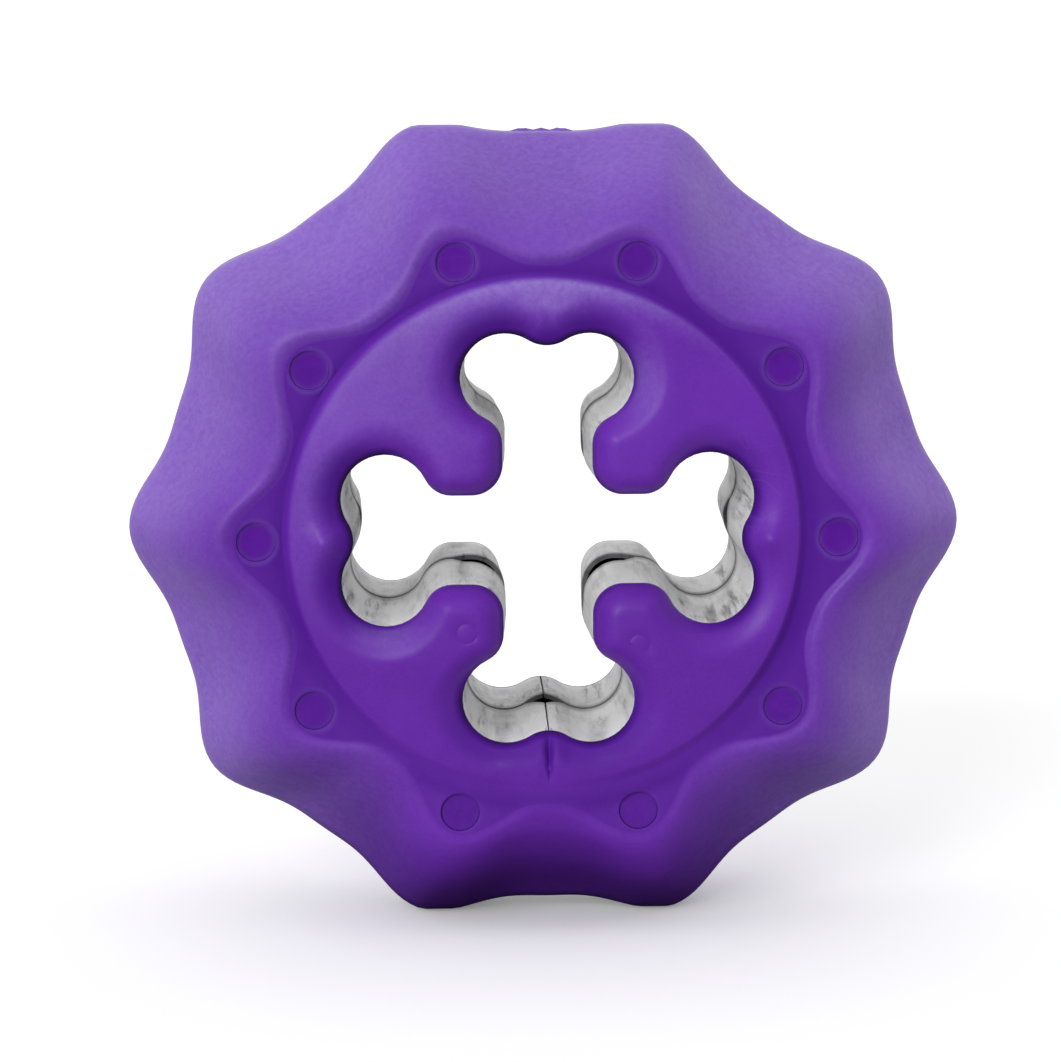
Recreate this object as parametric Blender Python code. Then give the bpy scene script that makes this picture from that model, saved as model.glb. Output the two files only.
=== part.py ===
# A chew-stick holder that stands on its ten-sided rim. Two equal moulded halves meet at a split line
# and turn on each other about Y. A cross-shaped hole runs through both, lined with a grey grip strip.

import math

import bmesh
import bpy
from mathutils import Vector

MM = 0.001
CLEARANCE = 0.3 * MM          # gap kept between neighbouring pieces
COLUMNS = 80                  # points round every outer loop of a moulded half
PLATE_COLUMNS = 40            # points round the plates and their pockets

# Overall form, measured from the split line outward along the axis
HALF_THICKNESS = 21.5 * MM    # split line to the flat of the raised boss
SPLIT_GAP = 0.3 * MM          # split line to the edge of a half

# Ten-sided rim
RIDGES = 10
RIDGE_RADIUS = 51.0 * MM
SCALLOP_RADIUS = 47.05 * MM
TOP_SCALLOP_RADIUS = 48.3 * MM
RIDGE_SHARPNESS = 1.79
STAND_HEIGHT = 48.6 * MM      # axis to the surface that the rim stands on
RIM_LAND = 2.5 * MM           # straight width of the rim in one half

# Flank and the channel that carries the pins
CREST_RIDGE_RADIUS = 38.7 * MM
CREST_VALLEY_RADIUS = 34.3 * MM
CREST_SHARPNESS = 1.5
CREST_WIDTH = 1.3 * MM        # slope from the channel up to the crest
CREST_DEPTH = 18.6 * MM
CHANNEL_DEPTH = 18.2 * MM
FLANK_RIM_HANDLE = 4.5 * MM
FLANK_CREST_RUN = 3.4 * MM    # direction in which the flank leaves the crest
FLANK_CREST_DROP = 2.2 * MM
FLANK_STEPS = 4

# Raised boss round the hole
BOSS_RADIUS = 31.0 * MM
BOSS_SHOULDER = 1.9 * MM
LIP_DEPTH = 18.0 * MM         # where the rolled edge turns into the hole
ROLL_AT_PRONG = 1.6 * MM
ROLL_AT_ARM_END = 3.0 * MM
ROLL_GROWS_FROM = 15.0 * MM   # distance from the axis over which the roll widens
ROLL_GROWS_TO = 22.0 * MM
ROLL_TURNS = (0, 28, 58, 90)  # degrees round the rolled edge
SHOULDER_TURNS = (90, 45, 0)

# Cross-shaped hole: four arms, each ending in two round lobes
ARM_HALF_WIDTH = 5.3 * MM
LOBE_RADIUS = 5.24 * MM
LOBE_ALONG = 19.23 * MM
LOBE_ACROSS = 5.0 * MM
SADDLE_RADIUS = 4.23 * MM
NECK_RADIUS = 3.45 * MM
PRONG_TIP_RADIUS = 3.7 * MM

# Grip liner, a thin strip
LINER_THICKNESS = 0.6 * MM
LINER_TAPER = 0.6 * MM        # how much the hole narrows towards the split line
LINER_INNER_DEPTH = 0.4 * MM
LINER_NOTCH = 2.4 * MM        # cut back of the inner edge at prong tips and saddles
LINER_SEAM = 0.35 * MM

# Pins
PIN_RADIUS = 2.38 * MM
PIN_RING_RADIUS = 34.6 * MM
PIN_RECESS = 0.4 * MM
PIN_CHAMFER = 0.35 * MM
PIN_SIDES = 12

# Turning joint: plates, spigot and clip ring
PLATE_RADIUS = 42.9 * MM
PLATE_NEAR = 0.6 * MM
PLATE_FAR = 3.6 * MM
CORE_RADIUS = 28.0 * MM       # solid middle of a half, round the hole
CORE_DEPTH = 1.0 * MM
SPIGOT_INNER = CORE_RADIUS + CLEARANCE
SPIGOT_OUTER = 29.8 * MM
SPIGOT_REACH = PLATE_FAR
CLIP_INNER = 29.3 * MM
CLIP_OUTER = 31.0 * MM
CLIP_NEAR = 2.2 * MM
CLIP_FAR = 2.8 * MM
CLIP_OPENING = math.radians(14)
CLIP_STEPS = 40

# Twist stop: a lug on the hub plate that runs in a notch of the bearing plate
TWIST = math.radians(36)
LUG_ANGLE = math.radians(126)
LUG_HALF_ANGLE = math.radians(3.5)
LUG_CLEARANCE = math.radians(0.6)
LUG_INNER = 39.2 * MM
LUG_OUTER = 42.4 * MM
LUG_REACH = 2.6 * MM


def clear_scene():
    for item in list(bpy.data.objects):
        bpy.data.objects.remove(item, do_unlink=True)


def make_material(name, colour, roughness, metallic=0.0):
    material = bpy.data.materials.new(name)
    material.use_nodes = True
    shader = material.node_tree.nodes["Principled BSDF"]
    shader.inputs["Base Color"].default_value = (*colour, 1.0)
    shader.inputs["Roughness"].default_value = roughness
    shader.inputs["Metallic"].default_value = metallic
    return material


def smooth_step(low, high, value):
    t = min(max((value - low) / (high - low), 0.0), 1.0)
    return t * t * (3.0 - 2.0 * t)


def place(x, depth, z):
    # A point of a half that faces -Y, by its depth from the split line
    return Vector((x, -depth, z))


def polar(radius, angle, depth):
    return place(radius * math.cos(angle), depth, radius * math.sin(angle))


def column_angles(count=COLUMNS):
    return [2.0 * math.pi * i / count for i in range(count)]


def add_loop(mesh, points):
    return [mesh.verts.new(point) for point in points]


def bridge(mesh, first, second, closed=True):
    count = len(first)
    for i in range(count if closed else count - 1):
        j = (i + 1) % count
        mesh.faces.new((first[i], first[j], second[j], second[i]))


def finish(name, mesh, material, parent):
    bmesh.ops.recalc_face_normals(mesh, faces=mesh.faces[:])
    for face in mesh.faces:
        face.smooth = True
    for edge in mesh.edges:
        edge.smooth = edge.calc_face_angle(0.0) < math.radians(38)
    data = bpy.data.meshes.new(name)
    mesh.to_mesh(data)
    mesh.free()
    data.materials.append(material)
    item = bpy.data.objects.new(name, data)
    item.parent = parent
    bpy.context.scene.collection.objects.link(item)
    return item


def make_frame(name, turn):
    frame = bpy.data.objects.new(name, None)
    frame.rotation_euler = (0.0, 0.0, turn)
    bpy.context.scene.collection.objects.link(frame)
    return frame


def fill_between(mesh, first, second):
    # A flat ring between two loops that may differ in their number of points
    border = []
    for loop in (first, second):
        for i, vertex in enumerate(loop):
            pair = (vertex, loop[(i + 1) % len(loop)])
            border.append(mesh.edges.get(pair) or mesh.edges.new(pair))
    bmesh.ops.triangle_fill(mesh, use_beauty=True, edges=border)


def cut(item, cutter):
    cutter.hide_render = True
    cutter.display_type = "WIRE"
    modifier = item.modifiers.new(cutter.name, "BOOLEAN")
    modifier.operation = "DIFFERENCE"
    modifier.solver = "EXACT"
    modifier.object = cutter


# The outline of the hole

class EdgePoint:
    # One point of the hole's edge, the direction into the moulding there and its place on the prong
    def __init__(self, x, z, normal_x, normal_z, notch):
        self.x = x
        self.z = z
        self.normal_x = normal_x
        self.normal_z = normal_z
        self.notch = notch

    def swapped(self):
        return EdgePoint(self.z, self.x, self.normal_z, self.normal_x, self.notch)

    def turned(self, quarter):
        c, s = ((1, 0), (0, 1), (-1, 0), (0, -1))[quarter]
        return EdgePoint(c * self.x - s * self.z, s * self.x + c * self.z,
                         c * self.normal_x - s * self.normal_z,
                         s * self.normal_x + c * self.normal_z, self.notch)

    def at(self, offset, depth):
        return place(self.x + self.normal_x * offset, depth, self.z + self.normal_z * offset)


def arc_points(centre, radius, start, end, steps, into_centre, notch_start, notch_end):
    points = []
    for i in range(steps):
        t = i / steps
        angle = start + (end - start) * t
        c = math.cos(angle)
        s = math.sin(angle)
        sign = -1.0 if into_centre else 1.0
        notch = notch_start + (notch_end - notch_start) * t
        points.append(EdgePoint(centre[0] + radius * c, centre[1] + radius * s, sign * c, sign * s, notch))
    return points


def octant_points():
    # From the saddle at an arm's end, round one lobe, to the tip of the prong on the diagonal
    saddle_x = LOBE_ALONG + math.sqrt((LOBE_RADIUS + SADDLE_RADIUS) ** 2 - LOBE_ACROSS ** 2)
    neck_z = ARM_HALF_WIDTH + NECK_RADIUS
    neck_x = LOBE_ALONG - math.sqrt((LOBE_RADIUS + NECK_RADIUS) ** 2 - (neck_z - LOBE_ACROSS) ** 2)
    tip = ARM_HALF_WIDTH + PRONG_TIP_RADIUS
    saddle_end = math.atan2(LOBE_ACROSS, LOBE_ALONG - saddle_x)
    neck_start = math.atan2(neck_z - LOBE_ACROSS, neck_x - LOBE_ALONG)
    quarter = math.pi / 2.0
    points = arc_points((saddle_x, 0.0), SADDLE_RADIUS, math.pi, saddle_end, 1, True, 0.85, 0.0)
    points += arc_points((LOBE_ALONG, LOBE_ACROSS), LOBE_RADIUS, saddle_end - math.pi, neck_start, 5,
                         False, 0.0, 0.0)
    points += arc_points((neck_x, neck_z), NECK_RADIUS, neck_start - math.pi, -quarter, 2, True, 0.0, 0.0)
    points.append(EdgePoint(neck_x, ARM_HALF_WIDTH, 0.0, 1.0, 0.1))
    points += arc_points((tip, tip), PRONG_TIP_RADIUS, -quarter, -1.5 * quarter, 1, True, 0.8, 1.0)
    diagonal = tip - PRONG_TIP_RADIUS * math.cos(math.pi / 4.0)
    half = math.sqrt(0.5)
    points.append(EdgePoint(diagonal, diagonal, half, half, 1.0))
    return points


def hole_outline():
    octant = octant_points()
    outline = []
    for quarter in range(4):
        outline += [point.turned(quarter) for point in octant[:-1]]
        outline += [point.swapped().turned(quarter) for point in reversed(octant[1:])]
    return outline


def roll_width(point):
    radius = math.hypot(point.x, point.z)
    reach = smooth_step(ROLL_GROWS_FROM, ROLL_GROWS_TO, radius)
    return ROLL_AT_PRONG + (ROLL_AT_ARM_END - ROLL_AT_PRONG) * reach


# The moulded half

def ridge_wave(angle, sharpness=RIDGE_SHARPNESS):
    return ((1.0 + math.cos(RIDGES * angle)) / 2.0) ** sharpness


def rim_radius(angle):
    # Round ridges with scallops between them, the top one shallower; it stands on two neighbouring ridges
    on_top = abs(angle - math.pi / 2.0) < math.pi / RIDGES
    scallop = TOP_SCALLOP_RADIUS if on_top else SCALLOP_RADIUS
    radius = scallop + (RIDGE_RADIUS - scallop) * ridge_wave(angle)
    return min(radius, STAND_HEIGHT / max(abs(math.sin(angle)), 0.5))


def crest_radius(angle):
    wave = ridge_wave(angle, CREST_SHARPNESS)
    return CREST_VALLEY_RADIUS + (CREST_RIDGE_RADIUS - CREST_VALLEY_RADIUS) * wave


def flank_point(angle, t):
    # A curve that falls away from the channel's crest and runs into the rim along the axis
    rim = rim_radius(angle)
    crest = crest_radius(angle)
    radii = (crest, crest + FLANK_CREST_RUN, rim, rim)
    depths = (CREST_DEPTH, CREST_DEPTH - FLANK_CREST_DROP, RIM_LAND + FLANK_RIM_HANDLE, RIM_LAND)
    weights = ((1 - t) ** 3, 3 * t * (1 - t) ** 2, 3 * t * t * (1 - t), t ** 3)
    radius = sum(w * r for w, r in zip(weights, radii))
    depth = sum(w * d for w, d in zip(weights, depths))
    return polar(radius, angle, depth)


def bridge_on(mesh, loop, points):
    following = add_loop(mesh, points)
    bridge(mesh, loop, following)
    return following


def boss_loops(mesh, outline, angles):
    # The rolled edge of the hole, the flat of the boss and its rounded shoulder
    seat = LINER_THICKNESS + CLEARANCE
    lip = rolled = add_loop(mesh, [p.at(seat, LIP_DEPTH) for p in outline])
    for turn in map(math.radians, ROLL_TURNS[1:]):
        depth = LIP_DEPTH + (HALF_THICKNESS - LIP_DEPTH) * math.sin(turn)
        widths = [seat + roll_width(p) * (1.0 - math.cos(turn)) for p in outline]
        rolled = bridge_on(mesh, rolled, [p.at(width, depth) for p, width in zip(outline, widths)])
    edge = BOSS_RADIUS - BOSS_SHOULDER
    foot = top = add_loop(mesh, [polar(edge, a, HALF_THICKNESS) for a in angles])
    for turn in map(math.radians, SHOULDER_TURNS[1:]):
        radius = edge + BOSS_SHOULDER * math.cos(turn)
        depth = CHANNEL_DEPTH + (HALF_THICKNESS - CHANNEL_DEPTH) * math.sin(turn)
        foot = bridge_on(mesh, foot, [polar(radius, a, depth) for a in angles])
    fill_between(mesh, rolled, top)
    return lip, foot


def pocket_loops(mesh, edge, lip, outline):
    # The flat of the split, the round pocket for the plate and the core round the hole
    angles = column_angles(PLATE_COLUMNS)
    pocket = PLATE_RADIUS + CLEARANCE
    ceiling = PLATE_FAR + CLEARANCE
    mouth = add_loop(mesh, [polar(pocket, a, SPLIT_GAP) for a in angles])
    fill_between(mesh, edge, mouth)
    loop = mouth
    for radius, depth in ((pocket, ceiling), (CORE_RADIUS, ceiling), (CORE_RADIUS, CORE_DEPTH)):
        loop = bridge_on(mesh, loop, [polar(radius, a, depth) for a in angles])
    wall = add_loop(mesh, [p.at(LINER_THICKNESS + CLEARANCE, CORE_DEPTH) for p in outline])
    fill_between(mesh, loop, wall)
    bridge(mesh, wall, lip)


def make_shell(name, material, parent):
    mesh = bmesh.new()
    angles = column_angles()
    outline = hole_outline()
    lip, loop = boss_loops(mesh, outline, angles)
    loop = bridge_on(mesh, loop, [polar(crest_radius(a) - CREST_WIDTH, a, CHANNEL_DEPTH) for a in angles])
    for i in range(FLANK_STEPS + 1):
        loop = bridge_on(mesh, loop, [flank_point(a, i / FLANK_STEPS) for a in angles])
    loop = bridge_on(mesh, loop, [polar(rim_radius(a), a, SPLIT_GAP) for a in angles])
    pocket_loops(mesh, loop, lip, outline)
    return finish(name, mesh, material, parent)


def make_liner(name, material, parent):
    # A strip bent round the hole's outline, its two ends butting at the bottom saddle
    mesh = bmesh.new()
    outline = hole_outline()
    start = 3 * len(outline) // 4
    strip = outline[start:] + outline[:start + 1]
    outer_depth = LIP_DEPTH - CLEARANCE
    profiles = []
    for i, point in enumerate(strip):
        near = LINER_INNER_DEPTH + LINER_NOTCH * point.notch
        lean = -LINER_TAPER * (outer_depth - near) / (outer_depth - LINER_INNER_DEPTH)
        corners = [point.at(lean, near), point.at(0.0, outer_depth),
                   point.at(LINER_THICKNESS, outer_depth), point.at(lean + LINER_THICKNESS, near)]
        shift = {0: LINER_SEAM / 2.0, len(strip) - 1: -LINER_SEAM / 2.0}.get(i, 0.0)
        profiles.append([corner + Vector((shift, 0.0, 0.0)) for corner in corners])
    columns = [add_loop(mesh, profile) for profile in profiles]
    for first, second in zip(columns, columns[1:]):
        bridge(mesh, first, second)
    mesh.faces.new(columns[0])
    mesh.faces.new(columns[-1])
    return finish(name, mesh, material, parent)


# Pins and the turning joint

def add_cylinder(mesh, centre_angle, radius, sides, steps):
    # A turned body on the pin circle, given as (radius change, depth) from end to end
    centre = polar(PIN_RING_RADIUS, centre_angle, 0.0)
    first_angle = centre_angle + math.pi / sides
    loops = []
    for change, depth in steps:
        points = [polar(radius + change, first_angle + a, depth) + centre for a in column_angles(sides)]
        loops.append(add_loop(mesh, points))
    for first, second in zip(loops, loops[1:]):
        bridge(mesh, first, second)
    mesh.faces.new(loops[0])
    mesh.faces.new(loops[-1])


def pin_angles():
    return [2.0 * math.pi * i / RIDGES for i in range(RIDGES)]


def make_pins(prefix, material, parent):
    top = CHANNEL_DEPTH - PIN_RECESS
    bottom = 2.0 * PLATE_NEAR
    steps = ((0.0, bottom), (0.0, top - PIN_CHAMFER), (-PIN_CHAMFER, top))
    for i, angle in enumerate(pin_angles()):
        mesh = bmesh.new()
        add_cylinder(mesh, angle, PIN_RADIUS, PIN_SIDES, steps)
        finish(f"{prefix}_pin_{i + 1:02d}", mesh, material, parent)


def make_bore_cutter(name, material, parent):
    mesh = bmesh.new()
    steps = ((0.0, 0.1 * MM), (0.0, CHANNEL_DEPTH + 1.0 * MM))
    for angle in pin_angles():
        add_cylinder(mesh, angle, PIN_RADIUS + CLEARANCE, PIN_SIDES, steps)
    return finish(name, mesh, material, parent)


def make_turned(name, profile, material, parent):
    mesh = bmesh.new()
    angles = column_angles(PLATE_COLUMNS)
    loops = [add_loop(mesh, [polar(r, a, depth) for a in angles]) for r, depth in profile]
    for first, second in zip(loops, loops[1:] + loops[:1]):
        bridge(mesh, first, second)
    return finish(name, mesh, material, parent)


def make_sector(name, radii, depths, start, end, steps, material, parent):
    mesh = bmesh.new()
    corners = [(radii[0], depths[0]), (radii[1], depths[0]), (radii[1], depths[1]), (radii[0], depths[1])]
    columns = []
    for i in range(steps + 1):
        angle = start + (end - start) * i / steps
        columns.append(add_loop(mesh, [polar(r, angle, depth) for r, depth in corners]))
    for first, second in zip(columns, columns[1:]):
        bridge(mesh, first, second)
    mesh.faces.new(columns[0])
    mesh.faces.new(columns[-1])
    return finish(name, mesh, material, parent)


def make_bearing_plate(material, parent, bores):
    # Counterbored on its far side for the clip ring
    bore = SPIGOT_OUTER + CLEARANCE
    seat = CLIP_OUTER + CLEARANCE
    seat_depth = CLIP_NEAR - CLEARANCE
    profile = ((bore, PLATE_NEAR), (PLATE_RADIUS, PLATE_NEAR), (PLATE_RADIUS, PLATE_FAR),
               (seat, PLATE_FAR), (seat, seat_depth), (bore, seat_depth))
    plate = make_turned("front_bearing_plate", profile, material, parent)
    margin = LUG_HALF_ANGLE + LUG_CLEARANCE
    notch = make_sector("twist_notch_cutter", (LUG_INNER - CLEARANCE, PLATE_RADIUS + 1.0 * MM),
                        (0.0, PLATE_FAR + 1.0 * MM), LUG_ANGLE - TWIST - margin, LUG_ANGLE + margin,
                        8, material, parent)
    cut(plate, bores)
    cut(plate, notch)
    return plate


def make_hub_plate(material, parent, bores):
    # The spigot and the lug reach past the split line, so their depths are negative
    profile = ((SPIGOT_INNER, PLATE_FAR), (PLATE_RADIUS, PLATE_FAR), (PLATE_RADIUS, PLATE_NEAR),
               (SPIGOT_OUTER, PLATE_NEAR), (SPIGOT_OUTER, CLEARANCE - CLIP_NEAR),
               (CLIP_INNER - CLEARANCE, CLEARANCE - CLIP_NEAR),
               (CLIP_INNER - CLEARANCE, -CLIP_FAR - CLEARANCE),
               (SPIGOT_OUTER, -CLIP_FAR - CLEARANCE), (SPIGOT_OUTER, -SPIGOT_REACH),
               (SPIGOT_INNER, -SPIGOT_REACH))
    plate = make_turned("rear_hub_plate", profile, material, parent)
    cut(plate, bores)
    facing = math.pi - LUG_ANGLE
    lug = make_sector("twist_lug_body", (LUG_INNER, LUG_OUTER), (2.0 * PLATE_NEAR, -LUG_REACH),
                      facing - LUG_HALF_ANGLE, facing + LUG_HALF_ANGLE, 2, material, parent)
    lug.hide_render = True
    lug.display_type = "WIRE"
    union = plate.modifiers.new("twist_lug", "BOOLEAN")
    union.operation = "UNION"
    union.solver = "EXACT"
    union.object = lug
    return plate


def build():
    clear_scene()
    purple = make_material("purple_moulding", (0.22, 0.07, 0.50), 0.45)
    pin_purple = make_material("purple_pin", (0.17, 0.05, 0.42), 0.5)
    grip_grey = make_material("grip_grey", (0.48, 0.48, 0.49), 0.5)
    plate_black = make_material("plate_black", (0.03, 0.03, 0.03), 0.6)
    steel = make_material("clip_steel", (0.6, 0.6, 0.62), 0.3, 1.0)
    front = make_frame("front_half", 0.0)
    rear = make_frame("rear_half", math.pi)
    for side, parent in (("front", front), ("rear", rear)):
        bores = make_bore_cutter(f"{side}_bore_cutter", purple, parent)
        cut(make_shell(f"{side}_shell", purple, parent), bores)
        make_liner(f"{side}_grip_liner", grip_grey, parent)
        make_pins(side, pin_purple, parent)
        if parent is front:
            make_bearing_plate(plate_black, parent, bores)
        else:
            make_hub_plate(plate_black, parent, bores)
    make_sector("retaining_ring", (CLIP_INNER, CLIP_OUTER), (-CLIP_NEAR, -CLIP_FAR),
                math.pi / 2.0 + CLIP_OPENING, 2.5 * math.pi - CLIP_OPENING, CLIP_STEPS, steel, rear)


build()
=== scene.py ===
import math

import bmesh
import bpy
import numpy as np
from mathutils import Matrix, Vector
from mathutils.geometry import delaunay_2d_cdt


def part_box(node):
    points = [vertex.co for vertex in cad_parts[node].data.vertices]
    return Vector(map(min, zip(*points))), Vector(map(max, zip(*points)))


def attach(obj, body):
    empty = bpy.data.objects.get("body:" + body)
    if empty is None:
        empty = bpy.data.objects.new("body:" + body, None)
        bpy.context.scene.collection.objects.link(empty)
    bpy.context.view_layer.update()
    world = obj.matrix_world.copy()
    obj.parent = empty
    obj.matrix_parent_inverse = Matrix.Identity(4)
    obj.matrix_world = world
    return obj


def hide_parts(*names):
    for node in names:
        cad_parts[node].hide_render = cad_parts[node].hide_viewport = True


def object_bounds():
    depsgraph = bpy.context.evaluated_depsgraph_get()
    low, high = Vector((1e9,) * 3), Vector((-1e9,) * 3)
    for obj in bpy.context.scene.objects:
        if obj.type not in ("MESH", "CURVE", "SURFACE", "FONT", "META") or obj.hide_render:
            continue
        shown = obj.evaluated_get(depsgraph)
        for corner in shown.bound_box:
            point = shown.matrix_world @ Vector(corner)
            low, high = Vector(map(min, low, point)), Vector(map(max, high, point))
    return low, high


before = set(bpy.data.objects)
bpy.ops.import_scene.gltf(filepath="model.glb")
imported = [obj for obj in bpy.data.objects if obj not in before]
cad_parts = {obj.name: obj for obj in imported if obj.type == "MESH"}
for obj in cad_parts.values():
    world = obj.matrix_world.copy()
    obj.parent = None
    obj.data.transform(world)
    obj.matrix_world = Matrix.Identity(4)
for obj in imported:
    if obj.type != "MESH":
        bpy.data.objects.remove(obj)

cadLow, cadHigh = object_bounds()
mm = 0.001  # pieces are drawn in millimetres and scaled once, when their mesh is made
sharpFrom = math.radians(34.0)  # faces that meet at more than this keep a sharp edge
blackMark = 2.0  # shade mark of the hidden faces inside the part, painted black as shade so that the gaps show dark
print("frame loaded:", len(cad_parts), "nodes")


# Node and socket helpers

def addNode(tree, kind, **values):
    made = tree.nodes.new(kind)
    for name, value in values.items():
        setattr(made, name, value)
    return made


def setInputs(made, values):
    for name, value in values.items():
        made.inputs[name].default_value = value


def join(source, target):
    target.id_data.links.new(source, target)


def feed(item, target):
    # A socket is joined, a plain number or colour is set
    if isinstance(item, bpy.types.NodeSocket):
        join(item, target)
    else:
        target.default_value = item


def newGroup(name, inputs, outputs):
    # Inputs come with their values; a socket whose name ends in colour holds a colour
    tree = bpy.data.node_groups.new(name, "ShaderNodeTree")
    for way, labels in (("INPUT", inputs), ("OUTPUT", outputs)):
        for label in labels:
            kind = "NodeSocketColor" if label.lower().endswith("colour") else "NodeSocketFloat"
            made = tree.interface.new_socket(label, in_out=way, socket_type=kind)
            if way == "INPUT":
                made.default_value = inputs[label]
    return tree, addNode(tree, "NodeGroupInput").outputs, addNode(tree, "NodeGroupOutput").inputs


def objectPlace(tree):
    return addNode(tree, "ShaderNodeTexCoord").outputs["Object"]


def noise(tree, vector, scale, detail=2.0, roughness=0.5):
    made = addNode(tree, "ShaderNodeTexNoise")
    setInputs(made, {"Detail": detail, "Roughness": roughness})
    join(vector, made.inputs["Vector"])
    feed(scale, made.inputs["Scale"])
    return made.outputs["Fac"]


def stretched(tree, vector, scale):
    made = addNode(tree, "ShaderNodeMapping")
    made.inputs["Scale"].default_value = scale
    join(vector, made.inputs["Vector"])
    return made.outputs["Vector"]


def mapped(tree, value, low, high, toLow=0.0, toHigh=1.0, smooth=True):
    made = addNode(tree, "ShaderNodeMapRange", interpolation_type="SMOOTHSTEP" if smooth else "LINEAR")
    for index, number in ((1, low), (2, high), (3, toLow), (4, toHigh)):
        made.inputs[index].default_value = number
    join(value, made.inputs[0])
    return made.outputs[0]


def math2(tree, operation, first, second):
    made = addNode(tree, "ShaderNodeMath", operation=operation)
    feed(first, made.inputs[0])
    feed(second, made.inputs[1])
    return made.outputs[0]


def times(tree, first, second):
    return math2(tree, "MULTIPLY", first, second)


def mixColour(tree, factor, first, second):
    made = addNode(tree, "ShaderNodeMix", data_type="RGBA")
    for index, item in ((0, factor), (6, first), (7, second)):  # 6 and 7 are the node's two colours
        feed(item, made.inputs[index])
    return made.outputs[2]


# Effects that several finishes share

def makeMouldedGroup():
    # Slow mottle of the plastic, the fine grain of the mould and the change of polish
    inputs = {"mottleScale": 60.0, "grainScale": 3000.0}
    tree, given, result = newGroup("mouldedGrain", inputs, ("mottle", "grain", "polish"))
    place = objectPlace(tree)
    slow = noise(tree, place, given["mottleScale"], 4.0, 0.55)
    flow = noise(tree, place, 220.0, 3.0, 0.6)
    fine = noise(tree, place, given["grainScale"], 2.0, 0.5)
    speckled = math2(tree, "ADD", times(tree, slow, 0.75), times(tree, fine, 0.25))
    join(mapped(tree, speckled, 0.34, 0.66), result["mottle"])
    join(math2(tree, "ADD", fine, times(tree, flow, 0.8)), result["grain"])
    join(mapped(tree, flow, 0.25, 0.75), result["polish"])
    return tree


def makeScuffGroup():
    # Thin bent scratches that come in patches
    tree, given, result = newGroup("handlingScuffs", {"scratchScale": 180.0}, ("scuffs",))
    place = objectPlace(tree)
    bend = addNode(tree, "ShaderNodeTexNoise")
    setInputs(bend, {"Scale": 90.0, "Detail": 1.0})
    join(place, bend.inputs["Vector"])
    shift = addNode(tree, "ShaderNodeVectorMath", operation="SCALE")
    shift.inputs["Scale"].default_value = 0.012
    join(bend.outputs["Color"], shift.inputs[0])
    moved = addNode(tree, "ShaderNodeVectorMath", operation="ADD")
    join(place, moved.inputs[0])
    join(shift.outputs[0], moved.inputs[1])
    cells = addNode(tree, "ShaderNodeTexVoronoi", feature="DISTANCE_TO_EDGE")
    join(moved.outputs[0], cells.inputs["Vector"])
    join(given["scratchScale"], cells.inputs["Scale"])
    lines = mapped(tree, cells.outputs["Distance"], 0.0, 0.02, 1.0, 0.0)
    patches = mapped(tree, noise(tree, place, 55.0, 3.0), 0.56, 0.72)
    join(times(tree, lines, patches), result["scuffs"])
    return tree


def makeToneGroup():
    # Painted highlights and sheen, and painted shade that goes near black on the hidden inner faces, from
    # the marks that the mesh carries
    inputs = {
        "baseColour": (0.5, 0.5, 0.5, 1.0), "edgeColour": (1.0, 1.0, 1.0, 1.0),
        "shadeAndStainColour": (0.0, 0.0, 0.0, 1.0), "edgeAmount": 0.3, "shadeAmount": 0.5}
    tree, given, result = newGroup("edgeAndHollow", inputs, ("colour", "hollow"))
    edge = addNode(tree, "ShaderNodeAttribute", attribute_name="edge").outputs["Fac"]
    hollow = addNode(tree, "ShaderNodeAttribute", attribute_name="hollow").outputs["Fac"]
    patchy = mapped(tree, noise(tree, objectPlace(tree), 1300.0, 4.0, 0.65), 0.3, 0.7, 0.72, 1.1)
    # painted highlights and sheen, in patches
    edgeMask = times(tree, times(tree, edge, patchy), given["edgeAmount"])
    shadeMask = times(tree, hollow, given["shadeAmount"])
    # painted shade: darker where marked, near black where the mark passes one, on the hidden faces inside
    dark = mixColour(tree, shadeMask, given["baseColour"], given["shadeAndStainColour"])
    inside = mixColour(tree, mapped(tree, hollow, 1.0, blackMark), dark, (0.003, 0.002, 0.004, 1.0))
    join(mixColour(tree, edgeMask, inside, given["edgeColour"]), result["colour"])
    join(shadeMask, result["hollow"])
    return tree


mouldedGroup = makeMouldedGroup()
scuffGroup = makeScuffGroup()
toneGroup = makeToneGroup()
print("shared effects made")


# Finishes

def newFinish(name):
    material = bpy.data.materials.new(name)
    material.use_nodes = True
    tree = material.node_tree
    return material, tree, tree.nodes["Principled BSDF"]


def placeGroups(tree, look, groups):
    # Shared effects in a finish; their inputs take its values of the same names
    placed = [addNode(tree, "ShaderNodeGroup", node_tree=group) for group in groups]
    for made in placed:
        setInputs(made, {name: look[name] for name in made.inputs.keys() if name in look})
    return placed


def roughRange(tree, value, look):
    return mapped(tree, value, 0.0, 1.0, look["roughLow"], look["roughHigh"], smooth=False)


def addBump(tree, shader, height, look):
    bump = addNode(tree, "ShaderNodeBump")
    setInputs(bump, {"Strength": look["bumpStrength"], "Distance": look["bumpDistance"]})
    join(height, bump.inputs["Height"])
    join(bump.outputs["Normal"], shader.inputs["Normal"])


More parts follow.
